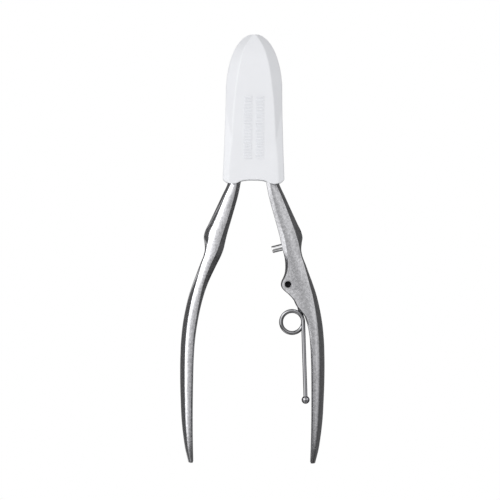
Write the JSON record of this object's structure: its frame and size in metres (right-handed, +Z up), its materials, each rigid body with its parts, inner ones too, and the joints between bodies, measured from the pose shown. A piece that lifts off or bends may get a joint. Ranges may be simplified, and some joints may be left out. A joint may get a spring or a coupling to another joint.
{
  "type": "nippers",
  "caption": "Slim spring nippers with two bowed steel handles, a lap-jointed head with carbide edges and a slip-on plastic jaw cap.",
  "frame": {"origin": "point where the pivot axis meets the flat lower face of the jaw cap, on which the tool lies", "axes": "+Y from the pivot towards the jaw tips, +X towards the handle with the spring, +Z up, along the pivot axis"},
  "size_m": [0.0434, 0.1284, 0.012],
  "materials": {
    "satin_stainless": "bead-blasted satin",
    "carbide": "ground carbide",
    "polished_stainless": "polished",
    "blackened_steel": "blackened",
    "bronze": "plain",
    "white_plastic": "satin moulded polypropylene"
  },
  "bodies": {
    "right_side": {"right_handle": "satin_stainless", "right_handle_carbide_tip": "carbide", "pivot_screw": "polished_stainless", "pivot_nut": "polished_stainless", "thrust_washer": "bronze", "stop_pin": "polished_stainless", "spring_pin": "blackened_steel"},
    "left_side": {"left_handle": "satin_stainless", "left_handle_carbide_tip": "carbide"},
    "spring": {"spring_wire": "polished_stainless", "spring_ball": "polished_stainless"},
    "cap": {"jaw_cap": "white_plastic"}
  },
  "joints": [
    {"name": "handle_pivot", "type": "hinge", "parent": "right_side", "child": "left_side", "pos_m": [0, 0, 0.006], "axis": [0, 0, -1], "range_deg": [-18.2, 0], "deforming": ["spring_wire", "spring_ball"]},
    {"name": "spring_swing", "type": "hinge", "parent": "right_side", "child": "spring", "pos_m": [0.01048, -0.0534, 0.006], "axis": [0, 0, -1], "range_deg": [0, 58.5]},
    {"name": "cap_slide", "type": "slide", "parent": "right_side", "child": "cap", "axis": [0, 1, 0], "range_m": [0, 0.05]}
  ]
}
